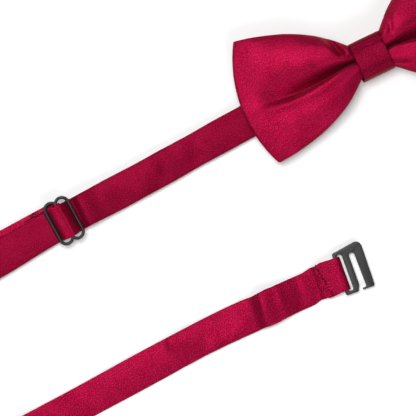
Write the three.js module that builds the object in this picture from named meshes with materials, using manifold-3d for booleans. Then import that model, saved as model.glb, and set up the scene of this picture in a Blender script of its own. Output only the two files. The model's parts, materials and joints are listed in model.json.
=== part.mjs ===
// Pre-tied bow tie, laid flat with its neckband folded back: the bow, the main band behind it,
// the slider, the hook band and the hook, in millimetres. X runs along the main band towards the
// eye, Y towards the bow's upper edge, Z up off the table. The origin is on the table under the knot.
import * as THREE from 'three';
import { mergeVertices } from 'three/addons/utils/BufferGeometryUtils.js';
import Module from 'manifold-3d';

const wasm = await Module();
wasm.setup();

// ---- sizes set by themselves ----
const bandWidth = 15;          // finished width of the neckband strap
const bandThick = 0.9;         // folded satin with its lining cloth
const gap = 0.3;               // clearance between pieces laid on one another
const barRoom = 0.45;          // room for a bar to turn inside the band's loop
const wrapLength = 15.1;       // knot wrap along the bow
const wrapThick = 0.8;         // folded satin of the knot wrap
const wrapTop = 14.5;          // height of the knot off the table
const wrapSide = 0.45;         // clearance from the band's edge to the wrap's inside
const wingReach = 61.4;        // knot centre to the middle of a wing's outer edge
const wingHalfHeight = 29;     // half the height of a wing at its corners
const wingBulge = 7;           // how far the outer edge bows out past its corners
const wingTop = 15.4;          // highest part of the front panel
const wingEdgeTop = 8.4;       // front panel at the outer edge
const wingPanel = 1.1;         // thickness of a folded satin panel
const pleatDepth = 2.6;        // valley between the two lobes of the front panel
const interliningThick = 0.5;  // stiff lining behind each front panel
const leftWingTurn = -6.9;     // degrees, left wing against the main band
const rightWingTurn = -2;      // degrees, right wing against the main band
const knotTurn = -2.7;         // degrees, knot wrap against the main band
const knotY = -1.1;            // knot centre across the main band
const threadRadius = 0.3;      // gathering thread
const stitchRadius = 0.2;      // sewing thread of the stitch rows
const tailEnd = -203;          // free end of the main band
const hemLength = 7;           // folded hem on the tail
const eyeBandStart = 66;       // where the eye end of the band lifts
const eyeBarX = 86;            // centre of the eye's bar
const wire = 1.4;              // thickness of the slider and the eye
const eyeOpening = 6.2;        // inside width of the eye, band and hook together
const eyeClear = 0.5;          // room at each end of the hook's leg in the eye
const eyeRim = 1.9;            // width of the eye's rim
const sliderX = -153;          // centre of the slider's bar
const sliderHalfWidth = 6.2;   // half the slider's size along the band
const sliderRoom = 1.2;        // room in the slider past each edge of the band
const sliderRail = 1.3;        // width of a rail
const sliderEnd = 1.8;         // width of the slider's rounded ends
const sliderBar = 1.8;         // width of the slider's middle bar
const loopThick = 0.6;         // cloth drawn tight round a bar
const archThick = 0.7;         // main band where it is drawn over the slider's bar
const hookBandShift = 2.2;     // hook band's upper run lies this far above the main band
const foldX = -232;            // centre line of the cross run
const lowerY = -74.5;          // centre line of the lower run
const hookHingeX = -118;       // where the hook end of the band lifts
const hookBandTurn = -4.6;     // degrees, hook end against the main band
const hookTurn = -8.6;         // degrees, hook and its doubled end against the main band
const hookReach = 60.7;        // lift line to the hook's bar, along the hook end
const hookPlate = 1.2;         // thickness of the hook plate
const hookBar = 1.7;           // width of the hook's band bar
const hookSlot = 2.3;          // width of the slot the band passes through
const hookMid = 3;             // width of the middle bar
const hookMouth = 2.5;         // width of the open mouth
const hookLeg = 4.3;           // width of the outer leg
const hookRoom = 0.9;          // room in the hook's slot past each edge of the band
const hookEndWall = 1.4;       // metal past each end of the hook's slot
const hookFlare = 1.75;        // outer leg stands this far past the plate's top
const doubledLength = 9.5;     // band turned back and sewn at each bar
const stitchPitch = 1;         // from one stitch to the next
const stitchSwing = 0.25;      // stitches lie this far each side of their seam
const channelHalf = 0.8;       // half the width of the hollow a stitch row lies in
const seamInset = 1.5;         // stitch row in from the sewn edge
const wrapShoulder = 4.5;      // rounding of the knot's upper edges
const wrapFoot = 1.2;          // rounding of the knot's edges on the table
const wrapMargin = 1.4;        // knot seam stops this far from the wrap's edges
const waistRoom = 1.15;        // waist is this much slimmer than the band and its clearance
const interliningInset = 2.5;  // interlining in from the wing's outline
const windTurns = 3;           // turns of the gathering thread
const windSpread = 4.2;        // gathering thread along the waist
const archLap = 2.2;           // arch lies on the band this far past the slider
const railRound = 2.9;         // rounding of the slider's ends
const slotRound = 1.2;         // rounding of the slider's slots
const eyeRound = 2.2;          // rounding of the eye's corners
const hookRound = 0.9;         // rounding of the hook plate's corners
const rampStart = 4;           // lower run starts down this far past the fold
const rampEnd = 22;            // and lies on the table from here on

// ---- levels off the table ----
const crossLevel = 0;
const upperLevel = crossLevel + bandThick + gap;
const mainLevel = upperLevel + bandThick + gap;
const mainTop = mainLevel + bandThick;
const underRail = mainTop + gap;
const sliderLevel = underRail + loopThick + gap + gap;
const sliderTop = sliderLevel + wire;
const wingBack = mainTop + 0.4;

const rad = (deg) => (deg * Math.PI) / 180;
const halfBand = bandWidth / 2;
const sliderHalfLength = halfBand + sliderRoom + sliderEnd;
const hookHalf = halfBand + hookRoom + hookEndWall;

// ---- helpers: solids as manifolds ----
function toManifold(geometry) {
  const g = geometry.clone();
  for (const name of Object.keys(g.attributes)) {
    if (name !== 'position') g.deleteAttribute(name);
  }
  const merged = mergeVertices(g, 1e-4);
  const mesh = new wasm.Mesh({
    numProp: 3,
    vertProperties: new Float32Array(merged.attributes.position.array),
    triVerts: new Uint32Array(merged.index.array),
  });
  return new wasm.Manifold(mesh);
}

function polygon(points) {
  return new THREE.Shape(points.map(([x, y]) => new THREE.Vector2(x, y)));
}

// a shape drawn in plan, standing from z0 to z1
function plan(shape, z0, z1, bevel = 0, segments = 10) {
  const g = new THREE.ExtrudeGeometry(shape, {
    depth: z1 - z0 - 2 * bevel,
    bevelEnabled: bevel > 0,
    bevelThickness: bevel,
    bevelSize: bevel,
    bevelOffset: -bevel,
    bevelSegments: 2,
    curveSegments: segments,
  });
  g.translate(0, 0, z0 + bevel);
  return toManifold(g);
}

// a shape drawn in X and Z, running from y0 to y1
function profile(shape, y0, y1, segments = 10) {
  const g = new THREE.ExtrudeGeometry(shape, {
    depth: y1 - y0,
    bevelEnabled: false,
    curveSegments: segments,
  });
  g.rotateX(Math.PI / 2);
  g.translate(0, y1, 0);
  return toManifold(g);
}

function block(x0, x1, y0, y1, z0, z1) {
  const g = new THREE.BoxGeometry(x1 - x0, y1 - y0, z1 - z0);
  g.translate((x0 + x1) / 2, (y0 + y1) / 2, (z0 + z1) / 2);
  return toManifold(g);
}

function roundedRect(x0, x1, y0, y1, r) {
  const s = new THREE.Shape();
  s.moveTo(x0 + r, y0);
  s.lineTo(x1 - r, y0);
  s.absarc(x1 - r, y0 + r, r, -Math.PI / 2, 0, false);
  s.lineTo(x1, y1 - r);
  s.absarc(x1 - r, y1 - r, r, 0, Math.PI / 2, false);
  s.lineTo(x0 + r, y1);
  s.absarc(x0 + r, y1 - r, r, Math.PI / 2, Math.PI, false);
  s.lineTo(x0, y0 + r);
  s.absarc(x0 + r, y0 + r, r, Math.PI, 1.5 * Math.PI, false);
  return s;
}

// a row of stitches as one thread: a zigzag along a line in plan, at one height
function stitchRow(from, to, pitch, swing, z, radius = stitchRadius) {
  const a = new THREE.Vector2(...from);
  const b = new THREE.Vector2(...to);
  const along = b.clone().sub(a);
  const count = Math.max(2, Math.round(along.length() / pitch));
  const side = new THREE.Vector2(-along.y, along.x).normalize();
  const points = [];
  for (let i = 0; i <= count; i += 1) {
    const p = a.clone().addScaledVector(along, i / count);
    p.addScaledVector(side, (i % 2 ? 1 : -1) * swing);
    points.push(new THREE.Vector3(p.x, p.y, z));
  }
  const path = new THREE.CatmullRomCurve3(points, false, 'centripetal');
  return thread(path, count * 3, radius);
}

function thread(path, steps, radius) {
  const ring = new THREE.Shape();
  ring.absarc(0, 0, radius, 0, 2 * Math.PI, false);
  const g = new THREE.ExtrudeGeometry(ring, {
    steps,
    extrudePath: path,
    bevelEnabled: false,
    curveSegments: 3,
  });
  return toManifold(g);
}

// a strip of even thickness along a centre line drawn in X and Z
function ribbon(points, thick, y0, y1, samples = 48) {
  const curve = new THREE.CatmullRomCurve3(points.map(([x, z]) => new THREE.Vector3(x, 0, z)));
  const outer = [];
  const inner = [];
  for (let i = 0; i <= samples; i += 1) {
    const p = curve.getPoint(i / samples);
    const t = curve.getTangent(i / samples);
    outer.push([p.x - (t.z * thick) / 2, p.z + (t.x * thick) / 2]);
    inner.push([p.x + (t.z * thick) / 2, p.z - (t.x * thick) / 2]);
  }
  return profile(polygon([...outer, ...inner.reverse()]), y0, y1);
}

const join = (...parts) => wasm.Manifold.union(parts);
const both = (...parts) => wasm.Manifold.intersection(parts);
const place = (m, turn, x, y) => m.rotate([0, 0, turn]).translate([x, y, 0]);

const group = new THREE.Group();
group.name = 'bow_tie';

function add(name, solid, colour, roughness, metalness) {
  const mesh = solid.getMesh();
  const g = new THREE.BufferGeometry();
  const stride = mesh.numProp;
  const count = mesh.vertProperties.length / stride;
  const position = new Float32Array(count * 3);
  for (let i = 0; i < count; i += 1) {
    for (let k = 0; k < 3; k += 1) position[3 * i + k] = mesh.vertProperties[stride * i + k];
  }
  g.setAttribute('position', new THREE.BufferAttribute(position, 3));
  g.setIndex(new THREE.BufferAttribute(new Uint32Array(mesh.triVerts), 1));
  g.computeVertexNormals();
  const material = new THREE.MeshStandardMaterial({ color: colour, roughness, metalness });
  const object = new THREE.Mesh(g, material);
  object.name = name;
  group.add(object);
}

const satinColour = 0xa5103f;
const threadColour = 0x5c0a24;
const liningColour = 0xe8e0d4;
const metalColour = 0x1b1b1e;
const satin = (name, solid) => add(name, solid, satinColour, 0.45, 0);
const cotton = (name, solid, colour = threadColour) => add(name, solid, colour, 0.8, 0);
const black = (name, solid) => add(name, solid, metalColour, 0.55, 0.5);

// ---- bow ----
const waistHalfY = halfBand + wrapSide - waistRoom;
const waistLow = underRail + 0.8;
const waistHigh = wrapTop - wrapThick - 1.1;
const wingStart = wrapLength / 2 + gap + 0.65;

// the wing's outline in plan: `inset` draws it smaller, for the cloth inside
function wingOutline(inset = 0) {
  const s = new THREE.Shape();
  const h = wingHalfHeight - inset;
  const x0 = wingStart;
  const corner = wingReach - wingBulge - inset;
  const root = waistHalfY + 0.6 - inset * 0.5;
  s.moveTo(x0, -root);
  s.bezierCurveTo(x0 + 7, -h * 0.55, x0 + 18, -h * 0.84, corner, -h);
  s.quadraticCurveTo(corner + 2 * wingBulge, 0, corner, h);
  s.bezierCurveTo(x0 + 18, h * 0.84, x0 + 7, h * 0.55, x0, root);
  s.closePath();
  return s;
}

// the wing seen edge on: `inset` draws the space inside the loop
function wingSide(inset = 0, topInset = inset) {
  const s = new THREE.Shape();
  const x0 = wingStart + (inset > 0 ? 6 : 0);
  const x1 = wingReach + 1 - inset;
  const low = wingBack + inset;
  const rootTop = waistHigh + 0.6 + (inset > 0 ? 1 : 0) - topInset;
  const rootLow = inset > 0 ? low + 1.6 : waistLow;
  s.moveTo(x0, rootLow);
  s.bezierCurveTo(x0 + 3, low, x0 + 8, low, x0 + 14, low);
  s.lineTo(x1 - 3, low + 0.5);
  s.quadraticCurveTo(x1, low + 0.5, x1, (low + wingEdgeTop - topInset) / 2 + 0.3);
  s.quadraticCurveTo(x1, wingEdgeTop - topInset, x1 - 3, wingEdgeTop + 0.3 - topInset);
  s.bezierCurveTo(x1 - 16, wingTop - topInset, x1 - 34, wingTop + 1 - topInset, x0, rootTop);
  s.closePath();
  return s;
}

// the wing cut across: two soft lobes with the pleat's valley between them
function wingLobes(inset = 0) {
  const s = new THREE.Shape();
  const w = wingHalfHeight + 2;
  const top = wingTop + 0.6 - inset;
  const valley = wingTop - pleatDepth - inset;
  s.moveTo(-w, 0);
  s.lineTo(w, 0);
  s.lineTo(w, top - 5.5);
  s.bezierCurveTo(w * 0.8, top - 1.5, w * 0.35, top + 1, 2.6, valley + 1.7);
  s.quadraticCurveTo(0.6, valley, 0, valley);
  s.quadraticCurveTo(-0.6, valley, -2.6, valley + 1.7);
  s.bezierCurveTo(-w * 0.35, top + 1, -w * 0.8, top - 1.5, -w, top - 5.5);
  s.closePath();
  return s;
}

// YZ section shapes are drawn with Y first and Z second
function across(shape, x0, x1) {
  const g = new THREE.ExtrudeGeometry(shape, { depth: x1 - x0, bevelEnabled: false, curveSegments: 10 });
  const m = new THREE.Matrix4().set(0, 0, 1, x0, 1, 0, 0, 0, 0, 1, 0, 0, 0, 0, 0, 1);
  g.applyMatrix4(m);
  return toManifold(g);
}

const reachY = wingHalfHeight + 3;

function wingShell() {
  const outer = both(
    plan(wingOutline(), 0, wingTop + 4, 0, 14),
    profile(wingSide(), -reachY, reachY, 14),
    across(wingLobes(), 0, wingReach + 5),
  );
  const inner = both(
    profile(wingSide(wingPanel), -reachY, reachY, 14),
    across(wingLobes(wingPanel), 0, wingReach + 5),
  );
  return outer.subtract(inner);
}

function wingInterlining() {
  const high = wingPanel + gap;
  const low = high + interliningThick;
  const upper = both(
    profile(wingSide(wingPanel + gap, high), -reachY, reachY, 14),
    across(wingLobes(high), 0, wingReach + 5),
    plan(wingOutline(interliningInset), 0, wingTop + 4, 0, 14),
    block(
      wingStart + 14,
      wingReach - 5,
      -reachY,
      reachY,
      wingBack + wingPanel + 1.2,
      wingTop + 4,
    ),
  );
  const under = both(
    profile(wingSide(wingPanel + gap - 0.2, low), -reachY, reachY, 14),
    across(wingLobes(low), 0, wingReach + 5),
  );
  return upper.subtract(under);
}

const waistShape = roundedRect(-waistHalfY, waistHalfY, waistLow, waistHigh, 2);
const waistEnd = wingStart + 1.5;
const waist = across(waistShape, -waistEnd, waistEnd);
const rightWing = place(wingShell(), rightWingTurn, 0, knotY);
const leftWing = place(wingShell(), 180 + leftWingTurn, 0, knotY);
satin('bow_loop', join(place(waist, knotTurn, 0, knotY), rightWing, leftWing));
cotton('right_interlining', place(wingInterlining(), rightWingTurn, 0, knotY), liningColour);
cotton('left_interlining', place(wingInterlining(), 180 + leftWingTurn, 0, knotY), liningColour);

// gathering thread: a few turns round the waist, squared off as it lies on it
const windY = waistHalfY + gap + threadRadius;
const windLow = waistLow - gap - threadRadius;
const windHigh = waistHigh + gap + threadRadius;
const windMid = (windLow + windHigh) / 2;
const squared = (v) => Math.sign(v) * Math.abs(v) ** 0.4;
const windSteps = 24 * windTurns;
const windPoints = [];
for (let i = 0; i <= windSteps; i += 1) {
  const part = i / windSteps;
  const angle = part * windTurns * 2 * Math.PI;
  const x = (part - 0.5) * windSpread;
  const y = squared(Math.cos(angle)) * windY;
  const z = windMid + (squared(Math.sin(angle)) * (windHigh - windLow)) / 2;
  windPoints.push(new THREE.Vector3(x, y, z));
}
const winding = thread(new THREE.CatmullRomCurve3(windPoints), 2 * windSteps, threadRadius);
cotton('waist_thread', place(winding, knotTurn, 0, knotY));

// knot wrap: a flat-backed band of satin, with a channel at the back for its seam
const wrapHalfY = halfBand + wrapSide + wrapThick;
const wrapOuter = new THREE.Shape();
wrapOuter.moveTo(-wrapHalfY + wrapFoot, 0);
wrapOuter.lineTo(wrapHalfY - wrapFoot, 0);
wrapOuter.quadraticCurveTo(wrapHalfY, 0, wrapHalfY, wrapFoot);
wrapOuter.lineTo(wrapHalfY, wrapTop - wrapShoulder);
wrapOuter.quadraticCurveTo(wrapHalfY, wrapTop, wrapHalfY - wrapShoulder, wrapTop);
wrapOuter.lineTo(-wrapHalfY + wrapShoulder, wrapTop);
wrapOuter.quadraticCurveTo(-wrapHalfY, wrapTop, -wrapHalfY, wrapTop - wrapShoulder);
wrapOuter.lineTo(-wrapHalfY, wrapFoot);
wrapOuter.quadraticCurveTo(-wrapHalfY, 0, -wrapHalfY + wrapFoot, 0);
const holeHalfY = wrapHalfY - wrapThick;
const holeTop = wrapTop - wrapThick;
const holeLow = mainLevel - gap;
const holeShoulder = wrapShoulder - 0.6;
const wrapHole = new THREE.Path();
wrapHole.moveTo(-holeHalfY, holeLow);
wrapHole.lineTo(-holeHalfY, holeTop - holeShoulder);
wrapHole.quadraticCurveTo(-holeHalfY, holeTop, -holeHalfY + holeShoulder, holeTop);
wrapHole.lineTo(holeHalfY - holeShoulder, holeTop);
wrapHole.quadraticCurveTo(holeHalfY, holeTop, holeHalfY, holeTop - holeShoulder);
wrapHole.lineTo(holeHalfY, holeLow);
wrapHole.closePath();
wrapOuter.holes.push(wrapHole);
const seamHalf = wrapLength / 2 - wrapMargin;
const seamDepth = 0.75;
const seamChannel = block(-seamHalf, seamHalf, -channelHalf, channelHalf, -1, seamDepth);
const wrapSolid = across(wrapOuter, -wrapLength / 2, wrapLength / 2).subtract(seamChannel);
satin('knot_wrap', place(wrapSolid, knotTurn, 0, knotY));
const knotSeam = stitchRow([-seamHalf + 0.5, 0], [seamHalf - 0.5, 0], 0.9, 0.3, 0.3);
cotton('knot_seam_stitches', place(knotSeam, knotTurn, 0, knotY));

// ---- main band ----
// the wrap pinches the band's edges where it passes through
const heldHalf = wrapLength / 2 + 1;
const heldY = holeHalfY - gap;
const held = place(block(-heldHalf - 1, heldHalf + 1, -heldY, heldY, 0, wrapTop), knotTurn, 0, knotY);
const pinch = block(-heldHalf, heldHalf, -2 * halfBand, 2 * halfBand, 0, wrapTop).subtract(held);
const flatBand = block(tailEnd, eyeBandStart - gap, -halfBand, halfBand, mainLevel, mainTop);
const bandBody = flatBand.subtract(pinch);
const hem = block(tailEnd, tailEnd + hemLength, -halfBand, halfBand, mainLevel, mainTop + bandThick);
const hemStitchX = tailEnd + hemLength - seamInset;
const hemTop = mainTop + bandThick;
const channelDepth = 0.6;
const rowHalf = halfBand - 1.4;

// cuts the hollow that a stitch row across the band lies in
function channel(x, y, z, half = halfBand - channelHalf) {
  return block(x - channelHalf, x + channelHalf, y - half, y + half, z - channelDepth, z + 1);
}

// a stitch row across the band
function bandStitches(x, y, z) {
  return stitchRow([x, y - rowHalf], [x, y + rowHalf], stitchPitch, stitchSwing, z);
}

satin('main_band', join(bandBody, hem).subtract(channel(hemStitchX, 0, hemTop)));
cotton('tail_stitches', bandStitches(hemStitchX, 0, hemTop - 0.05));

// ---- band end folded round a bar; drawn with the bar at x = 0 and the band towards -x ----
function barLoop(length, runLow, barHalf, low, barThick, y0, y1) {
  const barLow = low + bandThick + barRoom;
  const barHigh = barLow + barThick;
  const top = barHigh + barRoom + bandThick;
  const nose = barHalf + gap + bandThick;
  const runTop = runLow + bandThick;
  const s = new THREE.Shape();
  const seam = -doubledLength;
  s.moveTo(-length, runLow);
  s.lineTo(seam - 3, runLow);
  s.lineTo(seam, Math.min(low, runLow));
  s.lineTo(nose - 1.4, low);
  s.quadraticCurveTo(nose, low, nose, (low + top) / 2);
  s.quadraticCurveTo(nose, top, nose - 1.4, top);
  s.lineTo(-barHalf - 1, top);
  s.lineTo(seam + 3, Math.max(runTop, low + 2 * bandThick));
  s.lineTo(seam, Math.max(runTop, low + 2 * bandThick));
  s.lineTo(seam, runTop);
  s.lineTo(-length, runTop);
  s.closePath();
  const hole = new THREE.Path();
  const hx = barHalf + gap;
  const z0 = barLow - barRoom;
  const z1 = barHigh + barRoom;
  hole.moveTo(-hx - 1.2, (z0 + z1) / 2);
  hole.lineTo(-hx, z1);
  hole.lineTo(hx - 0.4, z1);
  hole.lineTo(hx, z1 - 0.4);
  hole.lineTo(hx, z0 + 0.4);
  hole.lineTo(hx - 0.4, z0);
  hole.lineTo(-hx, z0);
  hole.closePath();
  s.holes.push(hole);
  return profile(s, y0, y1);
}

// ---- eye end ----
const eyeRun = eyeBarX - eyeBandStart - gap;
const eyeLow = 0.4;
const eyeBarLow = eyeLow + bandThick + barRoom;
const eyeHalfLength = hookHalf + hookFlare / 2 + eyeClear;
const eyeLoop = barLoop(eyeRun, mainLevel, eyeRim / 2, eyeLow, wire, -halfBand, halfBand);
const eyeSeamX = -doubledLength + seamInset;
const eyeSeamZ = Math.max(mainTop, eyeLow + 2 * bandThick);
const eyeChannel = channel(eyeSeamX, 0, eyeSeamZ);
satin('eye_band', eyeLoop.subtract(eyeChannel).translate([eyeBarX, 0, 0]));
const eyeRow = bandStitches(eyeSeamX, 0, eyeSeamZ - 0.05);
cotton('eye_stitches', eyeRow.translate([eyeBarX, 0, 0]));
const eyeOuterX = eyeRim * 1.5 + eyeOpening;
const eyeOuterY = eyeHalfLength + eyeRim;
const eyeInnerX = eyeRim / 2;
const eyeOuter = roundedRect(-eyeInnerX, eyeOuterX, -eyeOuterY, eyeOuterY, eyeRound);
const eyeHole = roundedRect(eyeInnerX, eyeInnerX + eyeOpening, -eyeHalfLength, eyeHalfLength, hookRound);
eyeOuter.holes.push(eyeHole);
black('eye', plan(eyeOuter, eyeBarLow, eyeBarLow + wire, 0.25, 6).translate([eyeBarX, 0, 0]));

// ---- slider, with the hook band's end round its bar and the main band arched over it ----
function sliderLobe(x0, x1) {
  const hy = sliderHalfLength;
  const s = roundedRect(x0, x1, -hy, hy, railRound);
  return plan(s, sliderLevel, sliderTop, 0.3, 6);
}
const slotIn = sliderBar / 2;
const slotOut = sliderHalfWidth - sliderRail;
const slotY = sliderHalfLength - sliderEnd;
const slotRight = plan(roundedRect(slotIn, slotOut, -slotY, slotY, slotRound), 0, 20, 0, 6);
const slotLeft = plan(roundedRect(-slotOut, -slotIn, -slotY, slotY, slotRound), 0, 20, 0, 6);
const lobes = join(sliderLobe(-sliderHalfWidth, slotIn), sliderLobe(-slotIn, sliderHalfWidth));
black('slider', lobes.subtract(slotRight).subtract(slotLeft).translate([sliderX, 0, 0]));

const loopShift = 0.8;
const loopHalf = halfBand - 0.2;
const loopHx = sliderBar / 2 + gap + loopThick;
const loopLow = sliderLevel - gap - loopThick;
const loopHigh = sliderTop + gap + loopThick;
const ring = roundedRect(-loopHx, loopHx, loopLow, loopHigh, 1.1);
const ringInX = loopHx - loopThick;
const ringHole = roundedRect(-ringInX, ringInX, loopLow + loopThick, loopHigh - loopThick, 0.5);
ring.holes.push(ringHole);
const loopSolid = profile(ring, loopShift - loopHalf, loopShift + loopHalf, 6);
satin('slider_loop', loopSolid.translate([sliderX, 0, 0]));

const archLow = underRail + archThick / 2;
const archTop = loopHigh + gap + archThick / 2 + 0.1;
const archWall = loopHx + gap + archThick / 2 + 0.25;
const archPoints = [
  [-sliderHalfWidth - archLap, archLow],
  [-sliderHalfWidth + 0.6, archLow],
  [-archWall - 0.55, archLow + 0.45],
  [-archWall, archLow + 1.9],
  [-archWall + 0.1, loopHigh - 0.6],
  [-1.15, archTop],
  [1.15, archTop],
  [archWall - 0.1, loopHigh - 0.6],
  [archWall, archLow + 1.9],
  [archWall + 0.55, archLow + 0.45],
  [sliderHalfWidth - 0.6, archLow],
  [sliderHalfWidth + archLap, archLow],
];
const arch = ribbon(archPoints, archThick, -halfBand, halfBand, 60);
satin('main_band_arch', arch.translate([sliderX, 0, 0]));

// ---- hook band: upper run, cross run under two flat folds, lower run ----
const upperHigh = upperLevel + bandThick;
const upperY0 = hookBandShift - halfBand;
const upperY1 = hookBandShift + halfBand;
const xLeft = foldX - halfBand;
const xRight = foldX + halfBand;
const foldGap = gap * Math.SQRT2;
const sliderSeamX = sliderX - 11;
const sliderHold = 4;          // hook band's upper run ends this far past the slider's bar
const upperPlan = polygon([
  [sliderX + sliderHold, upperY0],
  [sliderX + sliderHold, upperY1],
  [xRight + foldGap, upperY1],
  [xLeft + foldGap, upperY0],
]);
const upperRun = plan(upperPlan, upperLevel, upperHigh);
const upperChannel = channel(sliderSeamX, hookBandShift, upperHigh, halfBand - 0.5);
satin('hook_band_upper', upperRun.subtract(upperChannel));
cotton('slider_stitches', bandStitches(sliderSeamX, hookBandShift, upperHigh - 0.3));

const lowerY0 = lowerY - halfBand;
const lowerY1 = lowerY + halfBand;
const crossPlan = polygon([
  [xRight, upperY1],
  [xLeft, upperY0],
  [xLeft, lowerY1],
  [xRight, lowerY0],
]);
// half-round edge of a flat fold: lies along the diagonal between (ax, ay) and (bx, by)
function foldEdge(ax, ay, bx, by) {
  const r = (upperHigh - crossLevel) / 2;
  const s = new THREE.Shape();
  s.moveTo(0, crossLevel);
  s.absarc(0, r, r, -Math.PI / 2, Math.PI / 2, false);
  s.lineTo(0, upperLevel);
  s.absarc(0, r, gap / 2, Math.PI / 2, -Math.PI / 2, true);
  s.closePath();
  const length = Math.hypot(bx - ax, by - ay);
  const turn = (Math.atan2(by - ay, bx - ax) * 180) / Math.PI;
  return profile(s, 0, length, 8).rotate([0, 0, turn - 90]).translate([ax, ay, 0]);
}
const crossRun = join(
  plan(crossPlan, crossLevel, crossLevel + bandThick),
  foldEdge(xRight, upperY1, xLeft, upperY0),
  foldEdge(xLeft, lowerY1, xRight, lowerY0),
);
satin('hook_band_cross', crossRun);

const rampFrom = xRight + rampStart;
const rampTo = xRight + rampEnd;
const lowerSide = polygon([
  [xLeft, upperLevel],
  [rampFrom, upperLevel],
  [rampTo, crossLevel],
  [hookHingeX - gap, crossLevel],
  [hookHingeX - gap, crossLevel + bandThick],
  [rampTo, crossLevel + bandThick],
  [rampFrom, upperHigh],
  [xLeft, upperHigh],
]);
const lowerPlan = polygon([
  [xLeft + foldGap, lowerY1],
  [hookHingeX, lowerY1],
  [hookHingeX, lowerY0],
  [xRight + foldGap, lowerY0],
]);
satin('hook_band_lower', both(profile(lowerSide, lowerY0, lowerY1), plan(lowerPlan, -1, 9)));

// ---- hook end ----
const endX = hookHingeX + hookReach * Math.cos(rad(hookBandTurn));
const endY = lowerY + hookReach * Math.sin(rad(hookBandTurn));
const endStart = gap + halfBand * Math.tan(rad(-hookBandTurn));
const straight = block(endStart, hookReach - doubledLength - 1, -halfBand, halfBand, 0, bandThick);
const loopRun = doubledLength + 3.5;
const hookLoop = barLoop(loopRun, crossLevel, hookBar / 2, crossLevel, hookPlate, -halfBand, halfBand);
const hookSeamX = -doubledLength + seamInset;
const hookSeamZ = crossLevel + 2 * bandThick;
const hookChannel = channel(hookSeamX, 0, hookSeamZ);
const hookEnd = join(
  place(straight, hookBandTurn, hookHingeX, lowerY),
  place(hookLoop.subtract(hookChannel), hookTurn, endX, endY),
);
satin('hook_band_end', hookEnd);
const hookRow = bandStitches(hookSeamX, 0, hookSeamZ - 0.05);
cotton('hook_stitches', place(hookRow, hookTurn, endX, endY));

// hook plate, drawn with the band bar's centre line at x = 0
const hookOut = hookBar + hookSlot + hookMid + hookMouth + hookLeg - hookBar / 2;
const midIn = hookBar / 2 + hookSlot;
const midOut = midIn + hookMid;
const legIn = midOut + hookMouth;
const hookShape = new THREE.Shape();
hookShape.moveTo(-hookBar / 2 + hookRound, -hookHalf);
hookShape.lineTo(midOut - 2, -hookHalf);
hookShape.quadraticCurveTo(midOut - 1, -hookHalf, midOut - 0.4, -hookHalf + 1.1);
hookShape.quadraticCurveTo(midOut, -hookHalf + 1.8, midOut, -hookHalf + 2.6);
hookShape.lineTo(midOut, hookHalf - 2.4 - hookMouth / 2);
hookShape.absarc(midOut + hookMouth / 2, hookHalf - 2.4 - hookMouth / 2, hookMouth / 2, Math.PI, 0, true);
hookShape.lineTo(legIn, -hookHalf + 1.7);
hookShape.quadraticCurveTo(legIn, -hookHalf + 0.85, legIn - 0.9, -hookHalf + 0.85);
hookShape.lineTo(legIn - 1.6, -hookHalf + 0.85);
hookShape.quadraticCurveTo(legIn - 2, -hookHalf + 0.4, legIn - 1.6, -hookHalf);
hookShape.lineTo(hookOut - 1.9, -hookHalf);
hookShape.quadraticCurveTo(hookOut - 1, -hookHalf, hookOut - 0.95, -hookHalf + hookRound);
hookShape.lineTo(hookOut, hookHalf - 1.6);
hookShape.quadraticCurveTo(hookOut, hookHalf + hookFlare, hookOut - 2.9, hookHalf + hookFlare);
hookShape.lineTo(-hookBar / 2 + hookRound, hookHalf);
hookShape.quadraticCurveTo(-hookBar / 2, hookHalf, -hookBar / 2, hookHalf - hookRound);
hookShape.lineTo(-hookBar / 2, -hookHalf + hookRound);
hookShape.quadraticCurveTo(-hookBar / 2, -hookHalf, -hookBar / 2 + hookRound, -hookHalf);
const slotHalf = halfBand + hookRoom;
hookShape.holes.push(roundedRect(hookBar / 2, hookBar / 2 + hookSlot, -slotHalf, slotHalf, 0.8));
const hookLevel = crossLevel + bandThick + barRoom;
const hookPlateSolid = plan(hookShape, hookLevel, hookLevel + hookPlate, 0.2, 6);
black('hook', place(hookPlateSolid, hookTurn, endX, endY));

export default group;
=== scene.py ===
import json
import math
import bmesh
import bpy
import numpy as np
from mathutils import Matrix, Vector


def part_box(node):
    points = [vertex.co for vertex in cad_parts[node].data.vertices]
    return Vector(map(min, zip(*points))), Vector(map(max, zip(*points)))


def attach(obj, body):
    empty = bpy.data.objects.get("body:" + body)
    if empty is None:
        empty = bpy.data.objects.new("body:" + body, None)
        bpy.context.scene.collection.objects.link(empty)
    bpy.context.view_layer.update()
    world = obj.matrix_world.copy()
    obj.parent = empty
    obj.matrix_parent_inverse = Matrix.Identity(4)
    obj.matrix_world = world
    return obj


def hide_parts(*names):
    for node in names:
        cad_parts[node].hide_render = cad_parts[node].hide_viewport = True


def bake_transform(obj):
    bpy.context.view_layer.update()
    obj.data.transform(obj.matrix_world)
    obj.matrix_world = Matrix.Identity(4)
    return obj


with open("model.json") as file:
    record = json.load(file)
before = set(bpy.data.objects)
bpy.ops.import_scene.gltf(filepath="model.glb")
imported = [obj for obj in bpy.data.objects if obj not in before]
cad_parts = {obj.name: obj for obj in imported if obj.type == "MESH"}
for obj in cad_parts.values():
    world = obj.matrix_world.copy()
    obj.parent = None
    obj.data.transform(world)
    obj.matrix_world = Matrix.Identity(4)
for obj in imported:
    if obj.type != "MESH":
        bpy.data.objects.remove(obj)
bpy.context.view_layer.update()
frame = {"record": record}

bl_info = {
    "name": "Satin bow tie",
    "version": (1, 0, 0),
    "blender": (4, 5, 0),
    "location": "3D View > Sidebar > Bow tie",
    "description": "Builds a pre-tied satin bow tie with its neckband, slider, hook and eye",
    "category": "Add Mesh",
}

MM = 0.001
TAU = 2 * math.pi


def low(node):
    return np.array(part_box(node)[0])


def high(node):
    return np.array(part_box(node)[1])


def mid_point(node):
    return (low(node) + high(node)) / 2


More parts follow.
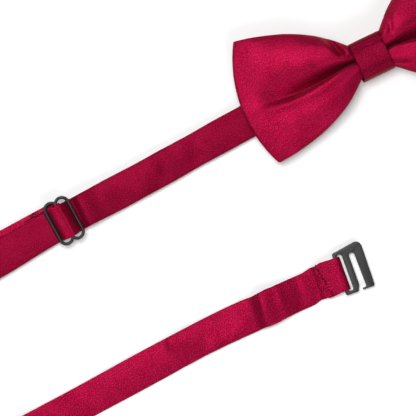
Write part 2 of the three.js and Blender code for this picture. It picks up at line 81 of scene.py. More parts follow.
def size_of(node):
    return high(node) - low(node)


# ---- places read from the frame ----
BAND_LOW = float(low("main_band")[2])
BAND_HALF = float(high("main_band")[1])
TAIL_X = float(low("main_band")[0])
SLIDER_X, _, SLIDER_Z = (float(v) for v in mid_point("slider"))
FOLD_X = float(low("hook_band_cross")[0] + BAND_HALF)
LOWER_Y = float(mid_point("hook_band_lower")[1])
HINGES = {j["name"]: j for j in frame["record"]["behaviour"]["joints"]}
# The hook and the cloth round its bar sit a little off the joint's axis.
HOOK_BAR = np.array(HINGES["hook_pivot"]["pos_m"]) + (0.3 * MM, 0.5 * MM, 0)
HOOK_AXIS = HINGES["hook_pivot"]["axis"]
EYE_BAR = HINGES["eye_pivot"]["pos_m"]
ACROSS = np.array((0, 1.0, 0))


class BowSizes(bpy.types.PropertyGroup):
    reach: bpy.props.FloatProperty(
        name="Reach", description="Knot centre to the middle of a wing's outer edge",
        default=61.4 * MM, unit="LENGTH")
    bulge: bpy.props.FloatProperty(
        name="Outer bulge", description="How far the outer edge bows past its corners",
        default=7 * MM, unit="LENGTH")
    panel: bpy.props.FloatProperty(
        name="Panel", description="Thickness of a folded satin panel",
        default=0.9 * MM, unit="LENGTH")
    left_turn: bpy.props.FloatProperty(
        name="Left turn", description="Left wing against the neckband",
        default=math.radians(-6.9), unit="ROTATION")
    right_turn: bpy.props.FloatProperty(
        name="Right turn", description="Right wing against the neckband",
        default=math.radians(-2), unit="ROTATION")
    knot_turn: bpy.props.FloatProperty(
        name="Knot turn", description="Knot wrap against the neckband",
        default=math.radians(-2.7), unit="ROTATION")
    knot_y: bpy.props.FloatProperty(
        name="Knot place", description="Knot centre across the neckband",
        default=-1.1 * MM, unit="LENGTH")
    knot_length: bpy.props.FloatProperty(
        name="Knot length", description="Knot wrap along the bow",
        default=15.1 * MM, unit="LENGTH")


class BandSizes(bpy.types.PropertyGroup):
    width: bpy.props.FloatProperty(
        name="Width", description="Finished width of the strap",
        default=2 * BAND_HALF, unit="LENGTH")
    thick: bpy.props.FloatProperty(
        name="Thickness", description="Folded satin with its lining cloth",
        default=0.9 * MM, unit="LENGTH")
    hem: bpy.props.FloatProperty(
        name="Hem", description="Folded hem on the free tail",
        default=7 * MM, unit="LENGTH")
    turned_end: bpy.props.FloatProperty(
        name="Turned end", description="Strap turned back and sewn at each bar",
        default=9.5 * MM, unit="LENGTH")
    hook_turn: bpy.props.FloatProperty(
        name="Hook turn", description="Hook and its doubled end against the neckband",
        default=math.atan2(HOOK_AXIS[0], -HOOK_AXIS[1]), unit="ROTATION")


class MetalSizes(bpy.types.PropertyGroup):
    rail: bpy.props.FloatProperty(
        name="Slider rail", description="Thickness of the slider's wire",
        default=1.4 * MM, unit="LENGTH")
    edge: bpy.props.FloatProperty(
        name="Edge", description="Rounding of the stamped plates' edges",
        default=0.16 * MM, unit="LENGTH")


class Finish(bpy.types.PropertyGroup):
    satin: bpy.props.FloatVectorProperty(
        name="Satin", description="Colour of the satin",
        default=(0.25, 0.0035, 0.029), subtype="COLOR", size=3, min=0, max=1)
    satin_dark: bpy.props.FloatVectorProperty(
        name="Satin, deep", description="Satin where the nap turns away",
        default=(0.19, 0.0015, 0.018), subtype="COLOR", size=3, min=0, max=1)
    metal: bpy.props.FloatVectorProperty(
        name="Metal", description="Colour of the coated metal",
        default=(0.0045, 0.0042, 0.0048), subtype="COLOR", size=3, min=0, max=1)
    thread: bpy.props.FloatVectorProperty(
        name="Thread", description="Colour of the sewing thread",
        default=(0.085, 0.002, 0.014), subtype="COLOR", size=3, min=0, max=1)


# ---- shader groups and materials ----
COLOUR, FLOAT = "NodeSocketColor", "NodeSocketFloat"


def new_group(name, ins, outs):
    group = bpy.data.node_groups.new(name, "ShaderNodeTree")
    for label, kind, value in ins:
        group.interface.new_socket(name=label, in_out="INPUT", socket_type=kind).default_value = value
    for label, kind in outs:
        group.interface.new_socket(name=label, in_out="OUTPUT", socket_type=kind)
    return group, group.nodes.new("NodeGroupInput").outputs, group.nodes.new("NodeGroupOutput")


def fill(tree, node, values):
    """Joins each input to a socket, or sets it to a constant."""
    for label, value in values.items():
        if isinstance(value, bpy.types.NodeSocket):
            tree.links.new(value, node.inputs[label])
        else:
            node.inputs[label].default_value = value


def new_node(tree, kind, values, **settings):
    """Adds a shader node and gives back its outputs."""
    node = tree.nodes.new("ShaderNode" + kind)
    for key, value in settings.items():
        setattr(node, key, value)
    fill(tree, node, values)
    return node.outputs


def calculate(tree, operation, a, b):
    return new_node(tree, "Math", {0: a, 1: b}, operation=operation)[0]


def noise(tree, vector, scale, detail, stretch=(1, 1, 1)):
    placed = new_node(tree, "Mapping", {"Vector": vector, "Scale": stretch})["Vector"]
    return new_node(tree, "TexNoise", {"Vector": placed, "Scale": scale, "Detail": detail})["Fac"]


def spread(tree, value, from_min, from_max, to_min=0, to_max=1):
    return new_node(tree, "MapRange", {"Value": value, "From Min": from_min, "From Max": from_max,
                                       "To Min": to_min, "To Max": to_max})["Result"]


def mix_colours(tree, factor, a, b, blend="MIX"):
    return new_node(tree, "Mix", {"Factor": factor, "A": a, "B": b},
                    data_type="RGBA", blend_type=blend)["Result"]


def satin_group():
    """Colour, gloss and weave of satin, from a UV map in metres."""
    group, start, end = new_group(
        "satin_group",
        [("Satin", COLOUR, (0.4, 0, 0.04, 1)), ("Deep", COLOUR, (0.3, 0, 0.03, 1)), ("Fleck", FLOAT, 0.3)],
        [("Color", COLOUR), ("Roughness", FLOAT), ("Height", FLOAT)])
    uv = new_node(group, "UVMap", {}, uv_map="cloth")["UV"]
    vector = new_node(group, "VectorMath", {0: uv, "Scale": 1 / MM}, operation="SCALE")["Vector"]
    clouds = noise(group, vector, 0.11, 3)
    slubs = noise(group, vector, 1, 2, (0.12, 2.2, 1))
    grain = noise(group, vector, 1.95, 2)
    weave = new_node(group, "TexBrick", {"Vector": vector, "Scale": 1, "Brick Width": 0.9, "Row Height": 0.2,
                                         "Mortar Size": 0.03, "Mortar Smooth": 1}, offset=0.37)["Fac"]
    tone = calculate(group, "ADD", calculate(group, "MULTIPLY", clouds, 0.75),
                     calculate(group, "MULTIPLY", slubs, 0.25))
    cloth = mix_colours(group, spread(group, tone, 0.36, 0.62), start["Deep"], start["Satin"])
    speck = calculate(group, "MULTIPLY", spread(group, grain, 0.47, 0.65), start["Fleck"])
    fill(group, end, {
        "Color": mix_colours(group, speck, cloth, (0.95, 0.012, 0.11, 1), "SCREEN"),
        "Roughness": spread(group, slubs, 0, 1, 0.39, 0.49),
        "Height": calculate(group, "SUBTRACT", calculate(group, "MULTIPLY", grain, 0.5),
                            calculate(group, "MULTIPLY", weave, 0.5))})
    return group


def metal_group():
    """Fine coating texture and rubbed edges for coated metal."""
    group, start, end = new_group(
        "metal_group",
        [("Coat", COLOUR, (0.03, 0.03, 0.03, 1)), ("Rubbed", COLOUR, (0.2, 0.2, 0.21, 1)),
         ("Wear", FLOAT, 0.5)],
        [("Color", COLOUR), ("Roughness", FLOAT), ("Height", FLOAT)])
    vector = new_node(group, "TexCoord", {})["Object"]
    patches = noise(group, vector, 420, 3)
    edge = spread(group, new_node(group, "NewGeometry", {})["Pointiness"], 0.53, 0.62)
    worn = calculate(group, "MULTIPLY", calculate(group, "MULTIPLY", edge, start["Wear"]), patches)
    fill(group, end, {
        "Color": mix_colours(group, worn, start["Coat"], start["Rubbed"]),
        "Roughness": spread(group, patches, 0, 1, 0.38, 0.56),
        "Height": noise(group, vector, 9000, 2)})
    return group


def thread_group():
    """Twisted strands of a sewing thread, from Object coordinates."""
    group, start, end = new_group(
        "thread_group", [("Thread", COLOUR, (0.1, 0, 0.02, 1)), ("Pitch", FLOAT, 5000.0)],
        [("Color", COLOUR), ("Height", FLOAT)])
    place = new_node(group, "TexCoord", {})["Object"]
    wave = new_node(group, "TexWave", {"Vector": place, "Scale": start["Pitch"], "Distortion": 2},
                    bands_direction="DIAGONAL")["Fac"]
    strands = mix_colours(group, wave, start["Thread"], (0.35, 0.35, 0.35, 1), "MULTIPLY")
    fill(group, end, {"Color": strands, "Height": wave})
    return group


def material(name, maker, values, bump, distance, constants):
    """A material from one shader group; constants are set on the shader itself."""
    made = bpy.data.materials.get(name)
    if made:
        return made
    made = bpy.data.materials.new(name)
    made.use_nodes = True
    tree = made.node_tree
    look = new_node(tree, "Group", values, node_tree=bpy.data.node_groups.get(maker.__name__) or maker())
    relief = new_node(tree, "Bump", {"Strength": bump, "Distance": distance, "Height": look["Height"]})
    shader = tree.nodes["Principled BSDF"]
    fill(tree, shader, {"Base Color": look["Color"], "Normal": relief["Normal"], **constants})
    if "Roughness" in look:
        fill(tree, shader, {"Roughness": look["Roughness"]})
    return made


def rgba(colour):
    return (*colour, 1)


# The last argument scales the satin's colours for each part: painted light and shade, lighter and darker copies
# of one satin.
def satin(name, fleck, painted_light_level):
    finish = bpy.context.scene.tie_finish
    return material(
        name, satin_group,
        {"Satin": rgba(painted_light_level * v for v in finish.satin), "Deep": rgba(painted_light_level * v for v in finish.satin_dark),
         "Fleck": fleck},
        0.5, 0.08 * MM,
        {"Metallic": 0.62, "Specular IOR Level": 0.2, "Specular Tint": (0.9, 0.1, 0.25, 1),
         "Sheen Weight": 0.03, "Sheen Roughness": 0.35, "Sheen Tint": (1, 0.5, 0.66, 1)})


def coated_metal():
    finish = bpy.context.scene.tie_finish
    return material(
        "black coated metal", metal_group,
        {"Coat": rgba(finish.metal), "Rubbed": (0.16, 0.16, 0.17, 1), "Wear": 0.6},
        0.12, 0.03 * MM, {"Metallic": 0.25, "Specular IOR Level": 0.55})


def sewing_thread():
    finish = bpy.context.scene.tie_finish
    return material(
        "dark red thread", thread_group,
        {"Thread": rgba(finish.thread), "Pitch": 5000.0},
        0.4, 0.05 * MM, {"Roughness": 0.8, "Specular IOR Level": 0.1})


def lining_cloth():
    return material(
        "lining cloth", satin_group,
        {"Satin": (0.78, 0.74, 0.68, 1), "Deep": (0.62, 0.58, 0.52, 1), "Fleck": 0.1},
        0.6, 0.15 * MM, {"Specular IOR Level": 0.2, "Sheen Weight": 0.1})


# ---- mesh helpers ----
def smooth_curve(xs, ys):
    """A smooth function through a few points, level at both ends."""
    xs, ys = np.array(xs, float), np.array(ys, float)
    slope = np.gradient(ys, xs)

    def value(x):
        x = np.clip(x, xs[0], xs[-1])
        i = np.clip(np.searchsorted(xs, x) - 1, 0, len(xs) - 2)
        step = xs[i + 1] - xs[i]
        t = (x - xs[i]) / step
        return ((2 * t ** 3 - 3 * t ** 2 + 1) * ys[i] + (t ** 3 - 2 * t ** 2 + t) * step * slope[i]
                + (3 * t ** 2 - 2 * t ** 3) * ys[i + 1] + (t ** 3 - t ** 2) * step * slope[i + 1])

    return value


def bell(x, width):
    return np.exp(-(x / width) ** 2)


def new_piece(name, mesh):
    mesh.shade_smooth()
    piece = bpy.data.objects.new(name, mesh)
    bpy.context.collection.objects.link(piece)
    return piece


def skin(name, rows, around=True, ends=True, ring=False):
    """A mesh through rows of points, with a UV map in metres along and across the rows."""
    rows = np.array(rows, float)
    rows[:, :, 2] = np.maximum(rows[:, :, 2], 0)
    count, across = rows.shape[:2]
    faces, corners = [], []
    last = count if ring else count - 1
    for i in range(last):
        for j in range(across if around else across - 1):
            k, m = (j + 1) % across, (i + 1) % count
            faces.append((i * across + j, i * across + k, m * across + k, m * across + j))
            corners.append(((i, j), (i, j + 1), (i + 1, j + 1), (i + 1, j)))
    if ends and not ring:
        faces.append(tuple(range(across))[::-1])
        faces.append(tuple((count - 1) * across + j for j in range(across)))
    mesh = bpy.data.meshes.new(name)
    mesh.from_pydata(rows.reshape(-1, 3).tolist(), [], faces)
    middle = rows.mean(axis=1)
    along = np.concatenate([[0], np.cumsum(np.linalg.norm(np.diff(middle, axis=0), axis=1))])
    along = np.append(along, along[-1] + np.linalg.norm(middle[0] - middle[-1]))
    girth = np.linalg.norm(np.diff(rows, axis=1, append=rows[:, :1]), axis=2).mean(axis=0)
    side = np.concatenate([[0], np.cumsum(girth)])
    layer = mesh.uv_layers.new(name="cloth")
    flat = [(along[i], side[j]) for face in corners for i, j in face]
    flat += [(0, 0)] * (len(mesh.loops) - len(flat))
    layer.data.foreach_set("uv", np.array(flat).ravel())
    tidy = bmesh.new()
    tidy.from_mesh(mesh)
    bmesh.ops.recalc_face_normals(tidy, faces=tidy.faces)
    tidy.to_mesh(mesh)
    tidy.free()
    return new_piece(name, mesh)


def activate(piece):
    bpy.ops.object.select_all(action="DESELECT")
    bpy.context.view_layer.objects.active = piece
    piece.select_set(True)


def finish_with(piece, kind, **settings):
    """Adds a modifier and applies it."""
    activate(piece)
    modifier = piece.modifiers.new(kind.lower(), kind)
    for key, value in settings.items():
        setattr(modifier, key, value)
    bpy.ops.object.modifier_apply(modifier=modifier.name)


def dress(piece, look, body, nodes=()):
    """Gives a piece its material and body, and hides the CAD nodes it stands for."""
    piece.data.materials.clear()
    piece.data.materials.append(look)
    if body:
        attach(piece, body)
    if nodes:
        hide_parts(*nodes)
    return piece


def resample(points, sides, step):
    """Even steps along a smooth line through the points; sides are carried along with it."""
    points, sides = np.array(points, float), np.array(sides, float)
    padded = np.vstack([2 * points[0] - points[1], points, 2 * points[-1] - points[-2]])
    fine, fine_sides = [], []
    for i in range(len(points) - 1):
        p0, p1, p2, p3 = padded[i:i + 4]
        for t in np.linspace(0, 1, 12, endpoint=False):
            fine.append(0.5 * (2 * p1 + (p2 - p0) * t + (2 * p0 - 5 * p1 + 4 * p2 - p3) * t ** 2
                               + (3 * p1 - p0 - 3 * p2 + p3) * t ** 3))
            fine_sides.append(sides[i] * (1 - t) + sides[i + 1] * t)
    fine.append(points[-1])
    fine_sides.append(sides[-1])
    fine, fine_sides = np.array(fine), np.array(fine_sides)
    run = np.concatenate([[0], np.cumsum(np.linalg.norm(np.diff(fine, axis=0), axis=1))])
    stops = np.linspace(0, run[-1], max(3, int(round(run[-1] / step)) + 1))
    line = np.stack([np.interp(stops, run, fine[:, k]) for k in range(3)], axis=1)
    side = np.stack([np.interp(stops, run, fine_sides[:, k]) for k in range(3)], axis=1)
    return line, side / np.linalg.norm(side, axis=1)[:, None], stops


def strap_section(width, thick, crown, count=15):
    """Places round a folded strap: across it, and above or below its middle."""
    half, r = width / 2, thick / 2
    flat = np.linspace(-half + r, half - r, count)
    bend = np.linspace(math.pi / 2, -math.pi / 2, 7)[1:-1]
    top = [(a, r + crown * (1 - (a / half) ** 2)) for a in flat]
    right = [(half - r + r * math.cos(b), r * math.sin(b)) for b in bend]
    bottom = [(a, -r) for a in flat[::-1]]
    left = [(-half + r - r * math.cos(b), -r * math.sin(b)) for b in bend]
    return np.array(top + right + bottom + left)


def strap_rows(line, side, section, wave=None, pull=None):
    """Rows of a strap along a line; wave lifts it and pull widens it, both by place."""
    tangent = np.gradient(line, axis=0)
    tangent /= np.linalg.norm(tangent, axis=1)[:, None]
    up = np.cross(tangent, side)
    across, off = section[:, 0], section[:, 1]
    wide = np.ones((len(line), 1)) if pull is None else pull(line)[:, None]
    place = across[None, :] * wide
    lift = np.zeros_like(place) if wave is None else wave(line, place)
    return (line[:, None, :] + side[:, None, :] * place[:, :, None]
            + up[:, None, :] * (off[None, :] + lift)[:, :, None])


EASY_SIDE = 2.6  # how much further a buckle runs out on its easy side


def buckles(marks):
    """Soft buckles across a strap: place, lean, length, height, place across, spread across."""
    def wave(line, place):
        x = line[:, 0][:, None]
        total = 0.0004 * MM * np.sin(x / MM)
        for at, lean, length, height, across, spread in marks:
            run = x - at * MM - lean * place
            reach = np.where(run < 0, length, EASY_SIDE * length) * MM
            total = total + height * MM * bell(run, reach) * bell(place - across * MM, spread * MM)
        return total
    return wave


def turned(vector, angle):
    c, s = math.cos(angle), math.sin(angle)
    return np.array([c * vector[0] - s * vector[1], s * vector[0] + c * vector[1], *vector[2:]])


def turn_rows(rows, turn, shift_y):
    """Turns rows about the upright through the knot and shifts them across the neckband."""
    c, s = math.cos(turn), math.sin(turn)
    x, y = rows[:, :, 0].copy(), rows[:, :, 1].copy()
    rows[:, :, 0] = c * x - s * y
    rows[:, :, 1] = s * x + c * y + shift_y
    return rows


def bar_turn(bar, turn, half_x, half_z, above, below, end, rise, sway=0):
    """Points of a strap that comes along the top, goes round a bar and back underneath."""
    local = [(-end - rise, above[0]), (-end, above[1]), (-end * 0.55, above[2]),
             (-half_x * 1.35, half_z * 0.96)]
    local += [(half_x * math.sin(a), half_z * math.cos(a)) for a in np.linspace(0, math.pi, 9)]
    local += [(-half_x * 1.6, below[0]), (-end * 0.5, below[1]), (-end - 0.4 * MM, below[2])]
    return [np.array(bar) + np.append(turned((x, sway * min(0, x) / end), turn), z) for x, z in local]


# ---- bow ----
WING_HALF = smooth_curve([0, 3, 6, 8, 11, 15.5, 20, 26, 33, 39.3, 47, 54.4, 62],
                         [6.5, 6.6, 7.0, 8.4, 11.2, 15.1, 18.1, 21.3, 24.2, 26.1, 27.9, 29.0, 29.6])
RIDGE_LINE = smooth_curve([0, 8, 14, 20, 26, 32, 38, 46, 54, 62],
                          [-0.8, -1.1, -2.1, -3.3, -4.4, -5.0, -5.1, -4.7, -4.5, -4.4])
CREST = smooth_curve([0, 5, 9, 14, 22, 32, 44, 54, 62], [12.2, 12.3, 13.0, 13.9, 14.2, 13.6, 11.9, 10.0, 8.2])
PLEAT_DEPTH = smooth_curve([0, 8, 14, 22, 32, 40, 48, 55, 62], [4.5, 5.6, 7.0, 7.3, 6.6, 4.8, 2.6, 0.9, 0])
PLEAT_ABOVE = smooth_curve([0, 8, 20, 34, 46, 62], [1.3, 1.9, 4.8, 6.6, 8.0, 8.0])
PLEAT_BELOW = smooth_curve([0, 8, 20, 34, 46, 62], [0.45, 0.5, 0.8, 1.2, 2.0, 3])
WING_COLUMNS, FRONT_ROWS, ROLL_ROWS, BACK_ROWS, LINING_ROWS = 77, 98, 9, 30, 84
WAIST_X, LINING_X = 0.35, 17.0
BACK_Z, EDGE_FOLD = 5.3, 0.95
ROLL_START = math.radians(58)
# Name, on the left or not, its turn, seed of its unevenness, how wide, how much its edge leans.
WINGS = (("left_wing", True, "left_turn", 0.4, 0.985, 1), ("right_wing", False, "right_turn", 2.1, 1.05, 0.2))


def front_height(x, y, q, pinched):
    """Height of a wing's front panel, in millimetres: two lobes and the pleat between them."""
    z = CREST(x)
    edge = np.abs(q)
    drop = 1.2 + 0.1 * np.clip(x - 8, 0, 26) - 2.6 * smooth_step(x, 36, 58)
    z = z - drop * edge ** 3.2 - 1.1 * bell(edge - 1.02, 0.06)
    ridge = RIDGE_LINE(x)
    gap = y - (ridge + PLEAT_BELOW(x) * 1.2)
    side = np.where(gap > 0, PLEAT_ABOVE(x), PLEAT_BELOW(x))
    z = z - PLEAT_DEPTH(x) * bell(gap, side)
    z = z + 0.3 * bell(y - ridge, 1.6) * smooth_step(x, 9, 20) * (1 - smooth_step(x, 46, 58))
    z = z - 0.3 * bell(y - ridge + 4.2, 2.6) * smooth_step(x, 16, 30) * (1 - smooth_step(x, 44, 58))
    z = z - 1.9 * smooth_step(q, 0.7, 1) * bell(x - 19, 8)
    fan = np.sin(q * 10.5 + 0.7) * 0.25 * bell(x - 9, 7)
    fold = -2.9 * bell(x - 13.1 - 0.42 * (y - 8.6), 1.45) * smooth_step(y, 4.2, 7)
    pinch = 1.7 * plateau(x - 9.9 - 0.1 * (y - 6.5), 1.9) * plateau(y - 6.6, 3.0)
    tuck = -0.8 * bell(y + 8.2 + 0.35 * (x - 10), 0.9) * bell(x - 10, 3.2)
    return z + fan + pinched * (fold + pinch) + tuck


def plateau(x, width):
    """A bump with a flat top and steep sides."""
    return np.exp(-(x / width) ** 4)


def smooth_step(x, a, b):
    t = np.clip((x - a) / (b - a), 0, 1)
    return t * t * (3 - 2 * t)


def slow_wave(x, y, seed):
    """Gentle unevenness of pressed cloth, in millimetres."""
    total = 0
    for i, (length, height) in enumerate(((31, 0.28), (17, 0.16), (9, 0.06))):
        along = np.sin(x / length * TAU / 2 + seed + i * 1.7)
        total = total + height * along * np.cos(y / length * TAU / 2 + seed * 2 + i)
    return total


def wing_rows(sizes, seed, wide, lean, inset=0.0, depth=0.0, back=True):
    """Rows of a wing from the waist out along the front, round the outer edge and along the back."""
    q = np.linspace(-1, 1, WING_COLUMNS)
    rise = 1.75 - 0.6 * q ** 4
    edge = sizes.reach / MM - sizes.bulge / MM * q ** 2 - 0.45 * lean * q - EDGE_FOLD - inset
    roll_x, roll_z = EDGE_FOLD * math.cos(ROLL_START), rise * math.sin(ROLL_START)
    rows = []
    start = WAIST_X if back else LINING_X
    for t in np.linspace(0, 1, FRONT_ROWS) ** 1.3:
        x = start + (edge + roll_x - start) * t
        y = q * (WING_HALF(x) * wide - inset)
        shift = 1.5 * bell(y - RIDGE_LINE(x), 1.3) * smooth_step(x, 5, 12) * (1 - smooth_step(x, 26, 44))
        z = front_height(x, y, q, lean) + slow_wave(x, y, seed) * smooth_step(x, 10, 22)
        settled = smooth_step(t, 0.72, 1.06)
        z = z * (1 - settled) + (BACK_Z + rise + roll_z + (1 - t) * (edge - start) * 0.2) * settled
        rows.append(np.stack([x, y + shift, z - depth], axis=1))
    if not back:
        return rows[:LINING_ROWS]
    for a in np.linspace(ROLL_START, -math.pi / 2, ROLL_ROWS)[1:-1]:
        x = edge + EDGE_FOLD * math.cos(a)
        rows.append(np.stack([x, q * WING_HALF(edge) * wide, BACK_Z + rise + rise * math.sin(a)], axis=1))
    for t in np.linspace(1, 0, BACK_ROWS):
        x = WAIST_X + (edge - WAIST_X) * t
        uneven = 0.35 * np.sin(q * 5 + seed) * smooth_step(x, 8, 20) * smooth_step(60 - x, 0, 14)
        z = BACK_Z + 0.5 * (1 - smooth_step(x, 6, 16)) + uneven
        rows.append(np.stack([x, q * WING_HALF(x) * wide, z], axis=1))
    return rows


def wing_sheet(name, wing, **inner):
    """A wing's loop, or the lining inside it, as an open sheet with its front panel facing up."""
    sizes = bpy.context.scene.tie_bow
    _, left, turn, seed, wide, lean = wing
    rows = np.array(wing_rows(sizes, seed, wide, lean, **inner)) * MM
    if left:
        rows[:, :, 0] *= -1
    rows = turn_rows(rows, getattr(sizes, turn), sizes.knot_y)
    piece = skin(name, rows[:, ::-1] if left else rows, around=False, ends=False)
    if max(piece.data.polygons, key=lambda face: face.center.z).normal.z < 0:
        piece.data.flip_normals()
    return piece


class TIE_OT_wings(bpy.types.Operator):
    """Builds the two wings: a tube of satin folded into a loop and pleated at the waist"""
    bl_idname = "tie.wings"
    bl_label = "Wings"

    def execute(self, context):
        panel = context.scene.tie_bow.panel
        for wing in WINGS:
            piece = wing_sheet(wing[0], wing)
            finish_with(piece, "SOLIDIFY", thickness=panel, offset=-1, use_even_offset=False)
            finish_with(piece, "SUBSURF", levels=1, render_levels=1)
            # The wings' satin is a slightly darker copy of the finish: painted shade.
            dress(piece, satin("bow satin", 0.28, 0.95), "bow", ["bow_loop"])
        return {"FINISHED"}


class TIE_OT_interlining(bpy.types.Operator):
    """Builds the stiff lining that lies behind each wing's front panel"""
    bl_idname = "tie.interlining"
    bl_label = "Interlining"

    def execute(self, context):
        for wing in WINGS:
            side = wing[0].split("_")[0]
            piece = wing_sheet(side + "_wing_lining", wing, inset=2.6, depth=1.35, back=False)
            finish_with(piece, "SOLIDIFY", thickness=0.45 * MM, offset=-1)
            dress(piece, lining_cloth(), "bow", [side + "_interlining"])
        return {"FINISHED"}


# Round the knot wrap: across the neckband and up, in millimetres.
KNOT_POINTS = [(-7.2, 0.45), (-8.1, 0.75), (-8.45, 1.7), (-8.5, 4.5), (-8.5, 7.6), (-8.35, 9.6), (-7.7, 11.7),
               (-6.4, 13.1), (-4.2, 13.75), (-1.6, 13.95), (1.2, 13.95), (3.4, 13.95), (4.55, 14.15),
               (5.15, 13.85), (5.7, 13.2), (6.7, 12.75), (7.6, 11.9), (8.3, 10.3), (8.5, 8.0), (8.5, 4.5),
               (8.45, 1.7), (8.1, 0.75), (7.2, 0.45), (3.5, 0.45), (0, 0.45), (-3.5, 0.45)]


class TIE_OT_knot(bpy.types.Operator):
    """Builds the knot wrap, with the fold along its top, and finishes what is under it"""
    bl_idname = "tie.knot"
    bl_label = "Knot"

    def execute(self, context):
        sizes = context.scene.tie_bow
        half = sizes.knot_length / 2
        points = [np.array((0, y * MM, z * MM)) for y, z in KNOT_POINTS]
        sides = [np.array((1.0, 0, 0))] * len(points)
        line, side, _ = resample(points + [points[0]], sides + [sides[0]], 0.3 * MM)
        line, side = line[:-1], side[:-1]
        section = strap_section(sizes.knot_length, 0.8 * MM, 0.12 * MM, 19)

        def wave(line, place):
            y, z = line[:, 1][:, None] / MM, line[:, 2][:, None] / MM
            up = smooth_step(z, 7, 12)
            line_y = 4.7 + 0.35 * np.sin(place / half * 2.2)
            rough = 0.12 * np.sin(place / MM * 3.1) + 0.08 * np.sin(place / MM * 7.3 + 1)
            crease = 0.7 * bell(y - line_y - rough, 0.42) + 0.35 * bell(y - line_y + 0.9, 2.0)
            dent = -0.5 * bell(y - 6.6, 1.2) - 0.35 * smooth_step(y, 5, 6.5) - 0.07 * bell(y + 4.5, 2.4)
            return MM * up * (crease + dent) * (1 - 0.35 * (place / half) ** 2)

        def pull(line):
            z = line[:, 2] / MM
            return 1 - 0.035 * smooth_step(z, 8, 13)

        rows = turn_rows(strap_rows(line, side, section, wave, pull), sizes.knot_turn, sizes.knot_y)
        piece = skin("knot_strip", rows, ring=True)
        # The knot's satin is a darker copy of the finish: painted shade.
        dress(piece, satin("knot satin", 0.19, 0.52), "bow", ["knot_wrap"])
        winding = bpy.data.objects["waist_thread"]
        winding.data.materials.clear()
        winding.data.materials.append(sewing_thread())
        return {"FINISHED"}


# ---- straps ----
# Buckles: place, lean, length, height, place across, spread across.
MAIN_BUCKLES = [(-142.9, 0.03, 3.3, 2.3, 0, 16), (-131, 0.1, 4.0, 0.6, 3, 8), (-121, -0.2, 3.2, 0.5, -3, 6),
                (-113, 0.2, 3.4, 0.75, 1, 8), (-105.5, 0.12, 2.4, 0.6, 4, 5), (-100, 0.1, 2.4, 0.55, 0, 6),
                (-92, -0.1, 2.2, 0.5, 3, 5), (-82, 0.1, 3.8, 0.45, -2, 8), (-172, 0.1, 5, 0.4, 0, 9),
                (-189, 0.1, 5, 0.4, 0, 9), (-66, 0, 3, 0.3, 0, 9)]
LOWER_BUCKLES = [(-93.9, 0.15, 4.0, 3.6, 0.5, 14), (-85.6, 0.1, 2.4, 0.9, -1, 10), (-80.5, 0.1, 2.0, 0.3, 3, 6),
                 (-74, 0.1, 2.4, 0.5, 0, 9), (-102.5, 0.1, 3.6, 0.8, 3, 7), (-110.3, 0.1, 3.2, 0.8, -4.5, 5),
                 (-119.7, 0.1, 3.6, 0.8, -5.5, 5), (-131, 0.08, 4.2, 1.4, 0, 10),
                 (-138.4, 0.2, 2.4, 1.0, 3.5, 5), (-146, 0.1, 2.4, 0.6, -2, 7), (-157, 0.1, 3.8, 0.6, 0, 9),
                 (-170, 0.1, 5, 0.5, 1, 9), (-184, 0, 6, 0.5, 0, 9)]


class TIE_OT_main_band(bpy.types.Operator):
    """Builds the main band, from its hemmed tail through the slider and the knot to the eye"""
    bl_idname = "tie.main_band"
    bl_label = "Main band"

    def execute(self, context):
        sizes = context.scene.tie_band
        thick = sizes.thick
        mid = BAND_LOW + thick / 2
        hem_mid = mid + thick + 0.04 * MM
        turn = thick / 2 + 0.02 * MM
        left = TAIL_X + thick + 0.1 * MM
        points = [np.array((TAIL_X + reach, 0, hem_mid)) for reach in (sizes.hem, sizes.hem / 2)]
        points += [np.array((left - turn * math.sin(a), 0,
                             (mid + hem_mid) / 2 + (hem_mid - mid) / 2 * math.cos(a)))
                   for a in np.linspace(0, math.pi, 7)]
        points += [np.array((x * MM, 0, mid)) for x in (-196, -180, -150, -100, -50, 0, 40, 58)]
        drop = mid - EYE_BAR[2]
        points += bar_turn(EYE_BAR, 0, 1.7 * MM, 1.6 * MM, (drop, drop + 0.1 * MM, drop + 0.5 * MM),
                           (-1.55 * MM, -1.3 * MM, drop - 0.98 * MM), sizes.turned_end, 4 * MM)
        line, side, _ = resample(points, [ACROSS] * len(points), 0.6 * MM)
        section = strap_section(sizes.width, thick, 0.03 * MM)
        wave = buckles(MAIN_BUCKLES)

        def calm(line, place):
            return wave(line, place) * (np.abs(line[:, 2][:, None] - mid) < 0.3 * MM)

        def pull(line):
            x = line[:, 0] / MM
            return 1 - 0.12 * bell(x, 9) + 0.012 * np.sin(x / 11) + 0.008 * np.sin(x / 4.3)

        rows = strap_rows(line, side, section, calm, pull)
        x = line[:, 0] / MM
        slack = 0.55 * bell(x, 9) + 0.35 * bell(x + 112, 26) + 0.044 * np.clip(-160 - x, 0, None)
        rows[:, :, 1] -= (slack * MM)[:, None]
        piece = skin("main_strap", rows)
        # The main band's satin is a darker copy of the finish: painted shade.
        dress(piece, satin("band satin", 0.17, 0.58), None, ["main_band", "eye_band"])
        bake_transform(piece)
        return {"FINISHED"}


